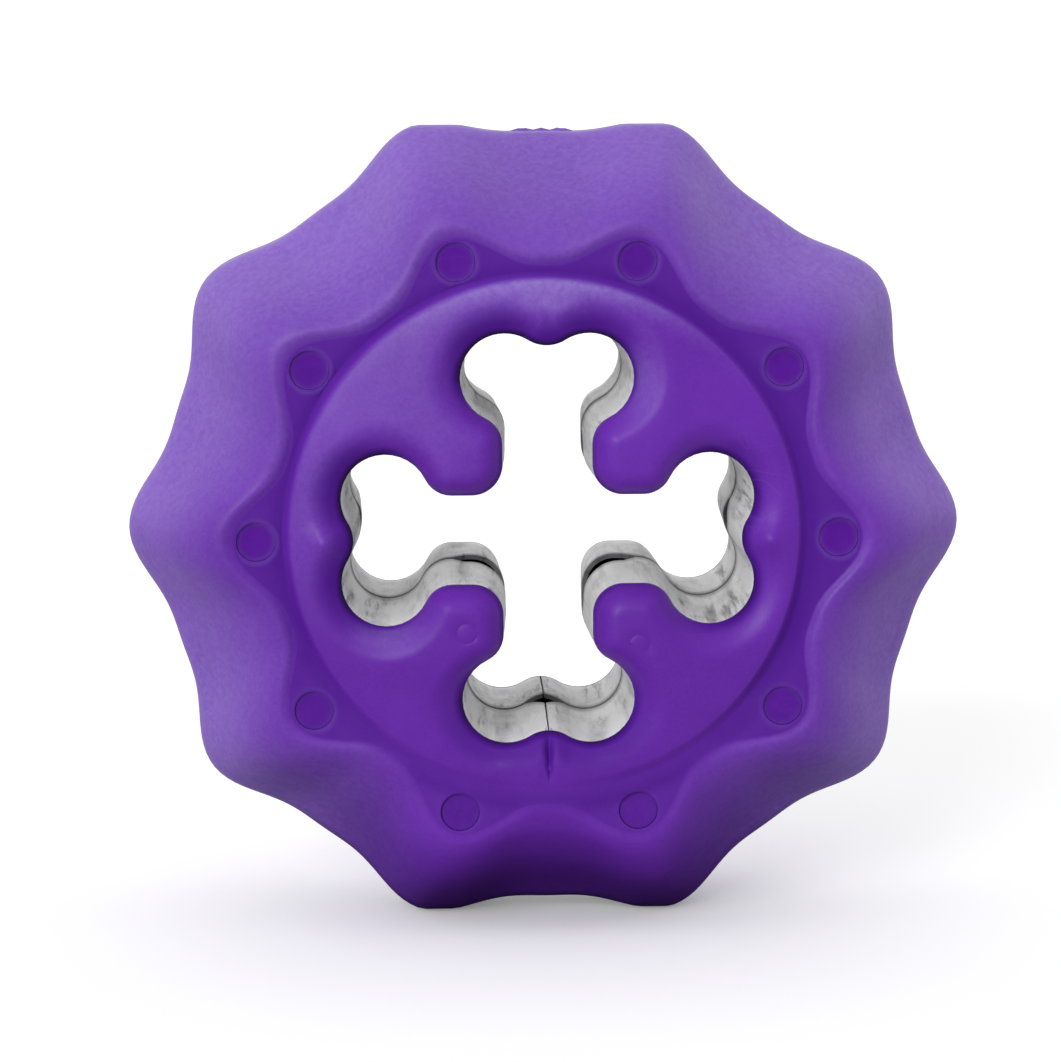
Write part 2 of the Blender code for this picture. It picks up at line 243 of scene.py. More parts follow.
def makePlastic(name, look):
    # A moulded plastic: mottled colour, painted highlights and sheen, painted shade that is also matt,
    # and fine scratches
    material, tree, shader = newFinish(name)
    grain, scuffs, tone = placeGroups(tree, look, (mouldedGroup, scuffGroup, toneGroup))
    mottled = mixColour(tree, grain.outputs["mottle"], look["deepColour"], look["paleColour"])
    join(mottled, tone.inputs["baseColour"])
    wearAndHighlight = times(tree, scuffs.outputs["scuffs"], look["scuffAmount"])
    colour = mixColour(tree, wearAndHighlight, tone.outputs["colour"], look["edgeColour"])
    join(colour, shader.inputs["Base Color"])
    matt = times(tree, tone.outputs["hollow"], look["shadeMatt"])
    rough = math2(tree, "ADD", roughRange(tree, grain.outputs["polish"], look), matt)
    join(math2(tree, "MINIMUM", rough, 1.0), shader.inputs["Roughness"])
    addBump(tree, shader, math2(tree, "SUBTRACT", grain.outputs["grain"], wearAndHighlight), look)
    setInputs(shader, {"IOR": look["ior"], "Specular IOR Level": look["specular"]})
    return material


# besides the mottle: a pale colour for the painted highlights and sheen and for the scuffs, and a dark
# one for the painted shade
purpleLook = dict(
    deepColour=(0.120, 0.0120, 0.365, 1.0), paleColour=(0.148, 0.0195, 0.435, 1.0),
    edgeColour=(0.32, 0.22, 0.63, 1.0), shadeAndStainColour=(0.074, 0.0024, 0.275, 1.0),
    edgeAmount=1.0, shadeAmount=1.0, shadeMatt=0.4, scuffAmount=0.06,
    mottleScale=62.0, grainScale=2600.0, scratchScale=160.0,
    roughLow=0.40, roughHigh=0.50, bumpStrength=0.32, bumpDistance=0.00006,
    ior=1.49, specular=0.30,
)
pinLook = dict(
    purpleLook, deepColour=(0.090, 0.0055, 0.295, 1.0), paleColour=(0.104, 0.0075, 0.33, 1.0),
    mottleScale=420.0, roughLow=0.44, roughHigh=0.56, edgeAmount=0.3, scuffAmount=0.02, specular=0.12)
# matt finish of the hidden inner faces, which the painted shade turns black
insideLook = dict(purpleLook, roughLow=0.85, roughHigh=1.0, scuffAmount=0.0, specular=0.0)
# black plates inside the split; their black keeps the gap between the halves dark, as painted shade
plateLook = dict(
    purpleLook, deepColour=(0.010, 0.010, 0.011, 1.0), paleColour=(0.022, 0.022, 0.023, 1.0),
    edgeColour=(0.12, 0.12, 0.12, 1.0), shadeAndStainColour=(0.004, 0.004, 0.004, 1.0),
    mottleScale=140.0, scuffAmount=0.35, roughLow=0.6, roughHigh=0.8, specular=0.1)

linerLook = dict(
    cleanColour=(0.85, 0.85, 0.85, 1.0), dullColour=(0.47, 0.465, 0.47, 1.0),
    edgeColour=(0.70, 0.66, 0.76, 1.0), shadeAndStainColour=(0.035, 0.03, 0.035, 1.0),  # the dark colour serves the painted shade and the stains; the pale one the painted highlight
    edgeAmount=0.3, shadeAmount=0.85, scuffAmount=0.4,
    mottleScale=190.0, grainScale=3400.0, scratchScale=240.0,
    streaksAcross=520.0, streaksAlong=38.0, smudges=210.0, drawnOut=0.3,
    smudgeShare=0.6, dullRange=(0.43, 0.66), patches=95.0, patchRange=(0.42, 0.60),
    stainRange=(0.54, 0.68), stainAmount=0.75, veins=130.0, veinWidth=0.012, veinAmount=0.3,
    roughLow=0.34, roughHigh=0.58, bumpStrength=0.3, bumpDistance=0.00008, specular=0.25,
)


def makeLinerFinish(look):
    # Pale grey strip with dull mottling, dark streaks that run through the hole and thin dark veins
    material, tree, shader = newFinish("gripGrey")
    grain, scuffs, tone = placeGroups(tree, look, (mouldedGroup, scuffGroup, toneGroup))
    place = objectPlace(tree)
    across = look["streaksAcross"]
    streak = noise(tree, stretched(tree, place, (across, look["streaksAlong"], across)), 1.0, 4.0, 0.6)
    drawn = stretched(tree, place, (1.0, look["drawnOut"], 1.0))
    smudge = noise(tree, drawn, look["smudges"], 5.0, 0.65)
    cracks = noise(tree, drawn, look["veins"], 4.0, 0.6)
    vein = math2(tree, "ABSOLUTE", math2(tree, "SUBTRACT", cracks, 0.5), 0.0)
    mottle = math2(tree, "ADD", times(tree, smudge, look["smudgeShare"]),
                   times(tree, streak, 1.0 - look["smudgeShare"]))
    wearAndHighlight = mapped(tree, mottle, *look["dullRange"])
    dull = mixColour(tree, wearAndHighlight, look["cleanColour"], look["dullColour"])
    patches = mapped(tree, noise(tree, place, look["patches"], 2.0), *look["patchRange"])
    stains = times(tree, mapped(tree, streak, *look["stainRange"]), patches)
    thin = mapped(tree, vein, 0.0, look["veinWidth"], look["veinAmount"], 0.0)
    dirt = math2(tree, "MAXIMUM", times(tree, stains, look["stainAmount"]), times(tree, thin, patches))
    # stains take the dark colour; the tone group then adds the painted shade and painted highlight that
    # the mesh marks
    join(mixColour(tree, dirt, dull, look["shadeAndStainColour"]), tone.inputs["baseColour"])
    marks = times(tree, scuffs.outputs["scuffs"], look["scuffAmount"])
    colour = mixColour(tree, marks, tone.outputs["colour"], look["dullColour"])
    join(colour, shader.inputs["Base Color"])
    join(roughRange(tree, grain.outputs["mottle"], look), shader.inputs["Roughness"])
    shader.inputs["Specular IOR Level"].default_value = look["specular"]
    addBump(tree, shader, math2(tree, "ADD", grain.outputs["grain"], smudge), look)
    return material


steelLook = dict(
    colour=(0.55, 0.55, 0.57, 1.0), dullColour=(0.36, 0.36, 0.37, 1.0),
    mottleScale=300.0, grainScale=4200.0, scratchScale=320.0,
    roughLow=0.24, roughHigh=0.42, bumpStrength=0.15, bumpDistance=0.00004,
)


def makeSteel(look):
    material, tree, shader = newFinish("clipSteel")
    grain, scuffs = placeGroups(tree, look, (mouldedGroup, scuffGroup))
    mottled = mixColour(tree, grain.outputs["mottle"], look["colour"], look["dullColour"])
    colour = mixColour(tree, scuffs.outputs["scuffs"], mottled, look["dullColour"])
    join(colour, shader.inputs["Base Color"])
    join(roughRange(tree, grain.outputs["polish"], look), shader.inputs["Roughness"])
    shader.inputs["Metallic"].default_value = 1.0
    addBump(tree, shader, grain.outputs["grain"], look)
    return material


purpleFinish = makePlastic("purpleMoulding", purpleLook)
pinFinish = makePlastic("purplePin", pinLook)
insideFinish = makePlastic("purpleInside", insideLook)
plateFinish = makePlastic("plateBlack", plateLook)
linerFinish = makeLinerFinish(linerLook)
steelFinish = makeSteel(steelLook)
print("finishes made")


# Mesh helpers: a draft holds points (x, depth, z) of the front half, marked for painted light and painted
# shade

def newDraft():
    return {"points": [], "edge": [], "hollow": [], "faces": []}


def addPoints(draft, plan, depth, edge=0.0, hollow=0.0):
    count = len(plan)
    first = len(draft["points"])
    depths = np.broadcast_to(depth, count)
    draft["points"] += [(float(p[0]), float(d), float(p[1])) for p, d in zip(plan, depths)]
    draft["edge"] += [float(v) for v in np.broadcast_to(edge, count)]
    draft["hollow"] += [float(v) for v in np.broadcast_to(hollow, count)]
    return list(range(first, first + count))


def bridge(draft, first, second):
    count = len(first)
    for i in range(count):
        j = (i + 1) % count
        draft["faces"].append((first[i], first[j], second[j], second[i]))


def bridgeRows(draft, rows):
    for first, second in zip(rows, rows[1:]):
        bridge(draft, first, second)


def planOf(draft, indices):
    return np.array([(draft["points"][i][0], draft["points"][i][2]) for i in indices])


def insideLoop(plan, loop):
    # Even-odd test of many points against one closed outline
    x, z = plan[:, 0:1], plan[:, 1:2]
    ax, az = loop[:, 0], loop[:, 1]
    bx, bz = np.roll(ax, -1), np.roll(az, -1)
    crosses = (az > z) != (bz > z)
    run = np.where(bz == az, 1.0, bz - az)
    return ((crosses & (x < (bx - ax) * (z - az) / run + ax)).sum(axis=1) % 2) == 1


def keepClear(plan, border, margin):
    return plan[np.min(np.linalg.norm(plan[:, None] - border[None], axis=2), axis=1) > margin]


def keepInside(plan, outer, holes, margin):
    # The plan points inside an outline, clear of it and of its holes
    keep = insideLoop(plan, outer)
    for hole in holes:
        keep &= ~insideLoop(plan, hole)
    return keepClear(plan[keep], np.concatenate([outer, *holes]), margin)


def latticeInside(outer, holes, spacing, margin):
    # A staggered grid of such points
    low, high = outer.min(axis=0), outer.max(axis=0)
    rows = np.arange(low[1], high[1], spacing * math.sqrt(0.75))
    grid = np.array([(x + (k % 2) * spacing / 2.0, z) for k, z in enumerate(rows)
                     for x in np.arange(low[0], high[0], spacing)])
    return keepInside(grid, outer, holes, margin)


def fillPlan(draft, loops, loose=()):
    # Triangles between closed loops, with loose points inside; a loop within a loop is a hole
    indices = [i for loop in loops for i in loop] + list(loose)
    local = {index: k for k, index in enumerate(indices)}
    edges = [(local[a], local[b]) for loop in loops for a, b in zip(loop, loop[1:] + loop[:1])]
    flat = [Vector(p) for p in planOf(draft, indices)]
    _, _, triangles, sources, _, _ = delaunay_2d_cdt(flat, edges, [], 0, 1e-7)
    corners = np.array([[indices[sources[k][0]] for k in t] for t in triangles])
    middle = sum(planOf(draft, corners[:, k]) for k in range(3)) / 3.0
    depthOfNest = sum(insideLoop(middle, planOf(draft, loop)).astype(int) for loop in loops)
    draft["faces"] += [tuple(t) for t, nest in zip(corners.tolist(), depthOfNest) if nest % 2 == 1]


def makePiece(name, draft, finish, body, nodes, turned, inside=None):
    mesh = bpy.data.meshes.new(name)
    side = -1.0 if turned else 1.0  # the rear half is the front half turned about the upright axis
    points = [(side * x * mm, -side * depth * mm, z * mm) for x, depth, z in draft["points"]]
    mesh.from_pydata(points, [], draft["faces"])
    for mark in ("edge", "hollow"):
        mesh.attributes.new(mark, "FLOAT", "POINT").data.foreach_set("value", draft[mark])
    work = bmesh.new()
    work.from_mesh(mesh)
    bmesh.ops.recalc_face_normals(work, faces=work.faces[:])
    openEdges = sum(1 for e in work.edges if len(e.link_faces) != 2)
    work.to_mesh(mesh)
    work.free()
    mesh.shade_smooth()
    mesh.set_sharp_from_angle(angle=sharpFrom)
    mesh.materials.append(finish)
    if inside:  # faces painted black all round, as shade, take the matt finish
        mesh.materials.append(inside)
        for face in mesh.polygons:
            face.material_index = int(all(draft["hollow"][i] == blackMark for i in face.vertices))
    piece = bpy.data.objects.new(name, mesh)
    bpy.context.scene.collection.objects.link(piece)
    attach(piece, body)
    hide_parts(*nodes)
    if openEdges:
        print("open edges on", name, openEdges)


def smoothStep(low, high, value):
    t = np.clip((np.asarray(value, float) - low) / (high - low), 0.0, 1.0)
    return t * t * (3.0 - 2.0 * t)


def bell(value, width):
    return np.exp(-(np.asarray(value, float) / width) ** 2)


def reachOf(plan):
    return np.linalg.norm(plan, axis=1)


def between(pair, share):
    return pair[0] + (pair[1] - pair[0]) * share


def circle(count):
    return np.linspace(0.0, 2.0 * math.pi, count, endpoint=False)


# The outline of the hole, for the shell and for its liner

holeShape = {
    "armHalfWidth": 5.3, "lobeRadius": 5.24, "lobeAlong": 19.23, "lobeAcross": 5.0,
    "saddleRadius": 4.23, "neckRadius": 3.45, "tipRadius": 3.7,
    "steps": {"saddle": 9, "lobe": 22, "neck": 6, "side": 3, "tip": 7},
    "crowd": {"saddle": 1.5, "lobe": 1.35},  # above one, points crowd at the start of an arc
    # how far the liner is cut back, out of one, from the start to the end of each stretch
    "notch": {"saddle": (0.85, 0.0), "neck": (0.0, 0.1), "side": (0.1, 0.75), "tip": (0.8, 1.0)},
}


def arcPoints(shape, name, centre, start, end, into):
    # Points x, z, their direction into the moulding, and how far the liner is cut back there
    steps = shape["steps"][name]
    radius = shape[name + "Radius"]
    t = (np.arange(steps) / steps) ** shape["crowd"].get(name, 1.0)
    angle = between((start, end), t)
    c, s = np.cos(angle), np.sin(angle)
    notch = between(shape["notch"].get(name, (0.0, 0.0)), t)
    return np.stack([centre[0] + radius * c, centre[1] + radius * s, into * c, into * s, notch], axis=1)


def holeOutline(shape):
    # An eighth of the outline, mirrored to one arm and turned to all four
    lobe = np.array((shape["lobeAlong"], shape["lobeAcross"]))
    reach = shape["lobeRadius"] + shape["saddleRadius"]
    saddle = np.array((lobe[0] + math.sqrt(reach ** 2 - lobe[1] ** 2), 0.0))
    neckZ = shape["armHalfWidth"] + shape["neckRadius"]
    reach = shape["lobeRadius"] + shape["neckRadius"]
    neck = np.array((lobe[0] - math.sqrt(reach ** 2 - (neckZ - lobe[1]) ** 2), neckZ))
    tip = shape["armHalfWidth"] + shape["tipRadius"]
    saddleEnd = math.atan2(*(lobe - saddle)[::-1])
    neckStart = math.atan2(*(neck - lobe)[::-1])
    right = math.pi / 2.0
    steps = shape["steps"]["side"]
    straight = np.linspace(neck[0], tip, steps + 1)[:-1]
    side = np.stack([straight, np.full_like(straight, shape["armHalfWidth"]), np.zeros_like(straight),
                     np.ones_like(straight), np.linspace(*shape["notch"]["side"], steps)], axis=1)
    octant = np.concatenate([
        arcPoints(shape, "saddle", saddle, math.pi, saddleEnd, -1.0),
        arcPoints(shape, "lobe", lobe, saddleEnd - math.pi, neckStart, 1.0),
        arcPoints(shape, "neck", neck, neckStart - math.pi, -right, -1.0),
        side,
        arcPoints(shape, "tip", (tip, tip), -right, -1.5 * right, -1.0),
    ])
    diagonal = tip - shape["tipRadius"] * math.sqrt(0.5)
    last = np.array([[diagonal, diagonal, math.sqrt(0.5), math.sqrt(0.5), 1.0]])
    mirrored = octant[::-1][:-1][:, (1, 0, 3, 2, 4)]
    arm = np.concatenate([octant, last, mirrored])
    arms = []
    for c, s in ((1, 0), (0, 1), (-1, 0), (0, -1)):
        turn = np.array(((c, s), (-s, c)))
        arms.append(np.concatenate([arm[:, 0:2] @ turn, arm[:, 2:4] @ turn, arm[:, 4:5]], axis=1))
    return np.concatenate(arms)


outline = holeOutline(holeShape)
outlinePlan, outlineNormal, outlineNotch = outline[:, 0:2], outline[:, 2:4], outline[:, 4]
outlineReach = reachOf(outlinePlan)


def outlineAt(offset):
    return outlinePlan + outlineNormal * np.broadcast_to(offset, len(outlinePlan))[:, None]


# Sizes read from the frame, and what both halves share

shellLow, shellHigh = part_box("front_shell")
pinLow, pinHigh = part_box("front_pin_01")
seamShare = 0.45  # the seam is drawn finer than its working gap
ridgeCount = 10
halves = (("front", False), ("rear", True))
faceDepth = -shellLow.y / mm
splitDepth = -seamShare * shellHigh.y / mm
ridgeRadius = shellHigh.x / mm
standHeight = -shellLow.z / mm
pinRing = (pinLow.x + pinHigh.x) / 2.0 / mm
pinRadius = (pinHigh.z - pinLow.z) / 2.0 / mm
pinFoot = -pinHigh.y / mm
pinHead = -pinLow.y / mm
pinAngles = [2.0 * math.pi * k / ridgeCount for k in range(ridgeCount)]
print("face depth", round(faceDepth, 3), "pin ring", round(pinRing, 3))


# Moulded half

shellShape = dict(
    # points round the half, and their spacing on the boss and in the channel
    columns=320, crowdWidth=math.radians(3.0), crowd=0.7, flatSpacing=1.7, channelSpacing=0.8,
    # rim, with stubs of flash at the split on top, and the rim's painted sheen
    scallopRadius=47.05, topScallopRadius=47.85, ridgeSharpness=1.79, rimLand=2.5, rimSheen=0.4,
    flashHeight=0.42, flashAt=(-0.05, -0.005, 0.045), flashWide=(0.02, 0.012, 0.016),
    # crest between the channel and the flank; its inset is given between two ridges and at a ridge
    crestRidge=37.9, crestValley=32.8, crestShift=0.35, crestSharpness=1.4, crestRound=0.95,
    crestInset=(0.4, 0.75), crestSoftLow=0.6, crestDepth=18.95, crestFade=0.15, crestFall=0.6,
    # flank: run and drop of its shoulder, shares of the way out with a drop or a rise, round of the rim;
    # its painted sheen, weaker at the foot, and painted shade at the foot
    shoulder=(3.0, 1.0), upperFlank=(0.48, 4.2), lowerFlank=(0.80, 5.4), rimRound=(0.15, 1.9, 0.6),
    flankBulge=0.25, flankHollow=1.0, sheen=(0.11, 0.50), sheenLow=0.85, footShade=1.1,
    # groove round the boss, and the pins' channel, with the painted shade in both
    grooveDepth=18.0, grooveRise=0.75, grooveShade=0.9,
    channelDepth=18.2, channelFrom=33.4, channelShade=0.7, channelFade=0.4,
    # boss: its step, its dome, the fall of the prongs' tips and of the ends of the arms
    bossEdge=29.85, bossFoot=31.25, bossShift=(-0.35, 0.6), bossRows=10,
    domeFrom=14.5, domeFall=1.75, domeFallLow=0.5, tipFrom=14.5, tipReach=8.0, tipFall=0.9,
    quarterFall=0.4, quarterFrom=(16.0, 27.0),
    # roll of the hole's edge, from the prongs to the ends of the arms, and its painted shade and painted
    # highlight
    lipDepth=18.0, lipOffset=0.03, lipThickness=0.12, rollRows=12, rollGrow=(15.0, 22.0),
    rollWidth=(3.1, 3.95), rollFlatness=(2.2, 1.55), rollRoundness=(0.72, 0.95),
    bandLeast=0.05, bandEven=0.6, bandReach=(0.2, 0.85), bandFall=2.2, rollHighlight=0.28,
    lipShade=1.75, lipParts=(0.25, 0.65, 0.4), lipEven=0.6, lipReach=(0.22, 0.40),
    underShade=0.65, underFrom=(17.0, 25.0),
    # painted highlights and painted sheen on the boss, lit from the upper left
    lightWay=2.3, quarterSheen=0.14, quarterReach=(8.0, 20.0),
    ridgeHighlight=0.58, ridgeSpan=0.5, ridgeFrom=(28.6, 30.2),
    dipHighlight=0.8, dipHighlightSpan=0.1, dipHighlightFrom=(26.5, 28.5),
    gleamPale=0.3, gleamSize=(1.5, 0.45), gleamSlope=0.15, gleams=((-5.4, -26.7), (6.8, -26.0)),
    # crease under the bottom saddle, with painted shade in it, dip over the top one, nubs at the other
    # two
    creaseDeep=1.5, creaseWide=0.46, creaseLip=0.42, creaseLipAt=1.3, creaseLipWide=0.65,
    creaseStart=20.0, creaseEnd=30.2, creaseGrow=6.0, creaseShade=0.7,
    creaseGrid=(2.4, 25, 0.4), creaseGridTop=26.0,
    dipDeep=0.45, dipAt=26.0, dipSize=(0.8, 3.0),
    nubHeight=0.95, nubAt=26.2, nubRadius=1.8, nubClear=0.65,
    # round marks on two prongs
    prongMarks=((-9.7, -10.7), (10.7, -12.2)), prongMarkRadius=1.2, prongMarkDeep=0.09,
    prongMarkWide=0.12, prongMarkSides=17,
    # bores: each ring is a distance from the pin and a painted highlight; lips and highlights are softer
    # at the foot
    boreGap=0.03, boreSides=32, boreLip=0.07, boreLipAt=0.55, boreLipWide=0.22, boreSoftLow=0.8,
    boreDrop=0.04, boreRings=((0.15, 0.06), (0.33, 0.09), (0.55, 0.04), (0.82, 0.0)),
    # inside
    seatOffset=0.95, coreDepth=1.0, coreRadius=28.0, pocketRadius=43.2, pocketDepth=3.9,
)


def ringPlan(radius, angle):
    return np.stack([radius * np.cos(angle), radius * np.sin(angle)], axis=1)


def pinCentre(angle):
    return ringPlan(pinRing, np.array([angle]))


def angleOf(plan):
    return np.arctan2(plan[:, 1], plan[:, 0])


def columnAngles(shape):
    # Even round the half, but crowded at the foot, where the crease is narrow
    away = np.linspace(-math.pi, math.pi, shape["columns"], endpoint=False)
    pull = shape["crowd"] * shape["crowdWidth"]
    stretch = math.pi / (math.pi - pull)
    return -math.pi / 2.0 + (away - pull * np.tanh(away / shape["crowdWidth"])) * stretch


def ridgeWave(angle, sharpness=1.0):
    # One at a ridge, nothing between two
    return ((1.0 + np.cos(ridgeCount * angle)) / 2.0) ** sharpness


def offTop(angle):
    return (angle - math.pi / 2.0 + math.pi) % (2.0 * math.pi) - math.pi


def lowness(angle):
    # Nothing on the upper half, one at the foot, where the forms are softer
    return smoothStep(0.3, 0.95, -np.sin(angle))


def rimRadius(shape, angle):
    # Round ridges, worn level where the part stands, and a shallower scallop on top
    onTop = np.abs(offTop(angle)) < math.pi / ridgeCount
    scallop = np.where(onTop, shape["topScallopRadius"], shape["scallopRadius"])
    rim = scallop + (ridgeRadius - scallop) * ridgeWave(angle, shape["ridgeSharpness"])
    return np.minimum(rim, standHeight / np.maximum(np.abs(np.sin(angle)), 0.5))


def flashedRim(shape, angle):
    # Uneven stubs of flash at the split in the top scallop
    stubs = sum(bell(offTop(angle) - at, wide) for at, wide in zip(shape["flashAt"], shape["flashWide"]))
    return rimRadius(shape, angle) + shape["flashHeight"] * stubs


def crestRadius(shape, angle):
    valley = shape["crestValley"] + shape["crestShift"] * np.cos(angle)
    return between((valley, shape["crestRidge"]), ridgeWave(angle, shape["crestSharpness"]))


def cornerCut(path, rounds):
    # Rounds a path of rows by cutting its corners, with its two ends kept
    for _ in range(rounds):
        near = 0.75 * path[:-1] + 0.25 * path[1:]
        far = 0.25 * path[:-1] + 0.75 * path[1:]
        middle = np.stack([near, far], axis=1).reshape(-1, *path.shape[1:])
        path = np.concatenate([path[:1], middle, path[-1:]])
    return path


def flankRows(shape, angle):
    # Control rows (radius, depth) from the channel over the crest, down the flank to the rim
    crest, rim = crestRadius(shape, angle), rimRadius(shape, angle)
    ridge, low = ridgeWave(angle), lowness(angle)
    top = shape["crestDepth"] - shape["crestFade"] * ridge - shape["crestFall"] * low
    atValley, atRidge = shape["crestInset"]
    inset = between((atValley + shape["crestSoftLow"] * low, atRidge), ridge)
    foot = channelDepth(shape, ringPlan(crest - inset, angle))
    bulge = shape["flankBulge"] - shape["flankHollow"] * (1.0 - ridge)  # hollow between two ridges
    land = shape["rimLand"]
    run, drop = shape["shoulder"]
    upper, fall = shape["upperFlank"]
    lower, rise = shape["lowerFlank"]
    inward, above, below = shape["rimRound"]

    def row(radius, depth):
        return np.stack([radius, np.broadcast_to(depth, radius.shape)], axis=1)

    return cornerCut(np.stack([
        row(crest - inset, foot),
        row(crest - 0.4 * inset, foot),
        row(crest + shape["crestRound"], top),
        row(crest + run, top - drop),
        row(crest + (rim - crest) * upper, top - fall + bulge),
        row(crest + (rim - crest) * lower, land + rise + bulge),
        row(rim - inward, land + above),
        row(rim, land - below),
    ]), 2)


def creaseFade(shape, z):
    return smoothStep(0.0, shape["creaseGrow"], shape["creaseEnd"] + z) * (z < -shape["creaseStart"])


def creaseMark(shape, plan):
    # painted shade in the crease
    across = bell(plan[:, 0], 0.9 * shape["creaseWide"])
    return shape["creaseShade"] * creaseFade(shape, plan[:, 1]) * across


def saddleNubs(shape, plan):
    # Round bumps on the roll at the saddles of the left and right arms
    return bell(np.hypot(np.abs(plan[:, 0]) - shape["nubAt"], plan[:, 1]), shape["nubRadius"])


def saddleShift(shape, plan):
    # What the saddles add to the boss: the crease below, the shallow dip on top and the nubs
    x, z = plan[:, 0], plan[:, 1]
    fade = creaseFade(shape, z)
    groove = -shape["creaseDeep"] * bell(x, shape["creaseWide"] * (0.3 + 0.7 * fade))
    lips = shape["creaseLip"] * bell(np.abs(x) - shape["creaseLipAt"], shape["creaseLipWide"])
    wide, long = shape["dipSize"]
    dip = -shape["dipDeep"] * bell(x, wide) * bell(z - shape["dipAt"], long)
    return fade * (groove + lips) + dip + shape["nubHeight"] * saddleNubs(shape, plan)


def grooveDepth(shape, plan):
    # The groove round the boss, shallower towards the foot of the part
    return shape["grooveDepth"] + shape["grooveRise"] * lowness(angleOf(plan))


def bossRim(shape, angle):
    # Radii at which the step down from the boss begins and ends; the boss sits a little off centre
    shift = shape["bossShift"][0] * np.cos(angle) + shape["bossShift"][1] * np.sin(angle)
    return shape["bossEdge"] + shift, shape["bossFoot"] + shift


def bossDepth(shape, plan, rolled):
    # A shallow dome, rolled into the hole by the given share, with a soft step down to the groove
    radius, angle = reachOf(plan), angleOf(plan)
    out = np.clip((radius - shape["domeFrom"]) / (shape["bossEdge"] - shape["domeFrom"]), 0.0, None)
    tip = np.clip((shape["tipFrom"] - radius) / shape["tipReach"], 0.0, None)
    fall = shape["domeFall"] + shape["domeFallLow"] * lowness(angle)
    top = faceDepth - fall * out ** 2 - shape["tipFall"] * tip ** 2
    atArms = np.cos(2.0 * angle) ** 4
    top = top - shape["quarterFall"] * atArms * smoothStep(*shape["quarterFrom"], radius)
    depth = shape["lipDepth"] + (top + saddleShift(shape, plan) - shape["lipDepth"]) * rolled
    first, last = bossRim(shape, angle)
    step = np.clip((radius - first) / (last - first), 0.0, 1.0)
    low = grooveDepth(shape, plan)
    return np.minimum(low + (depth - low) * (1.0 + np.cos(math.pi * step)) / 2.0, faceDepth)


def bossHighlights(shape, plan):
    # Painted highlight on the ridge over the top arm and in the dip over the top saddle, a painted sheen
    # to its upper left and two painted highlights under the bottom lobes
    angle, radius = angleOf(plan), reachOf(plan)
    off = offTop(angle)
    ridge = bell(off, shape["ridgeSpan"]) * smoothStep(*shape["ridgeFrom"], radius)
    dip = shape["dipHighlight"] * bell(off, shape["dipHighlightSpan"]) * smoothStep(*shape["dipHighlightFrom"], radius)
    quarter = smoothStep(0.2, 1.0, np.cos(angle - shape["lightWay"]))
    quarter = quarter * smoothStep(*shape["quarterReach"], radius)
    long, wide = shape["gleamSize"]
    gleams = 0.0
    for x, z in shape["gleams"]:
        along = plan[:, 0] - x
        gleams = gleams + bell(along, long) * bell(plan[:, 1] - z - shape["gleamSlope"] * along, wide)
    wearAndHighlight = shape["ridgeHighlight"] * np.maximum(ridge, dip)
    return wearAndHighlight + shape["quarterSheen"] * quarter + shape["gleamPale"] * gleams


def rollTones(shape, grow):
    # Round the hole: painted shade as a dark band on the roll, darker still at the lip below it, and a
    # painted highlight on the side lit from the upper left
    outward = np.sum(outlineNormal * outlinePlan, axis=1) / outlineReach  # one at the ends of the arms
    falling = np.clip(outlineNormal[:, 1] - outlineNormal[:, 0], -1.0, 1.0)  # one if facing down or right, away from the painted light
    towards = np.cos(angleOf(outlinePlan) - shape["lightWay"])  # one at the upper left, where the painted light comes from
    band = between((shape["bandLeast"], 1.0), smoothStep(0.3, 1.0, outward))
    band = band * between((shape["bandEven"], 1.0), falling)
    base, byArm, byFall = shape["lipParts"]
    lip = np.clip(base + byArm * outward + byFall * np.clip(falling, 0.0, 1.0), 0.0, 1.0)
    lip = shape["lipShade"] * lip * between((shape["lipEven"], 1.0), grow)
    lit = shape["rollHighlight"] * np.clip(-falling, 0.0, 1.0) * smoothStep(-0.5, 0.4, towards) * grow
    return band, lip, lit


def footFade(shape, angle):
    # the painted shade in the groove and channel fades towards the foot
    return 1.0 - shape["channelFade"] * lowness(angle)


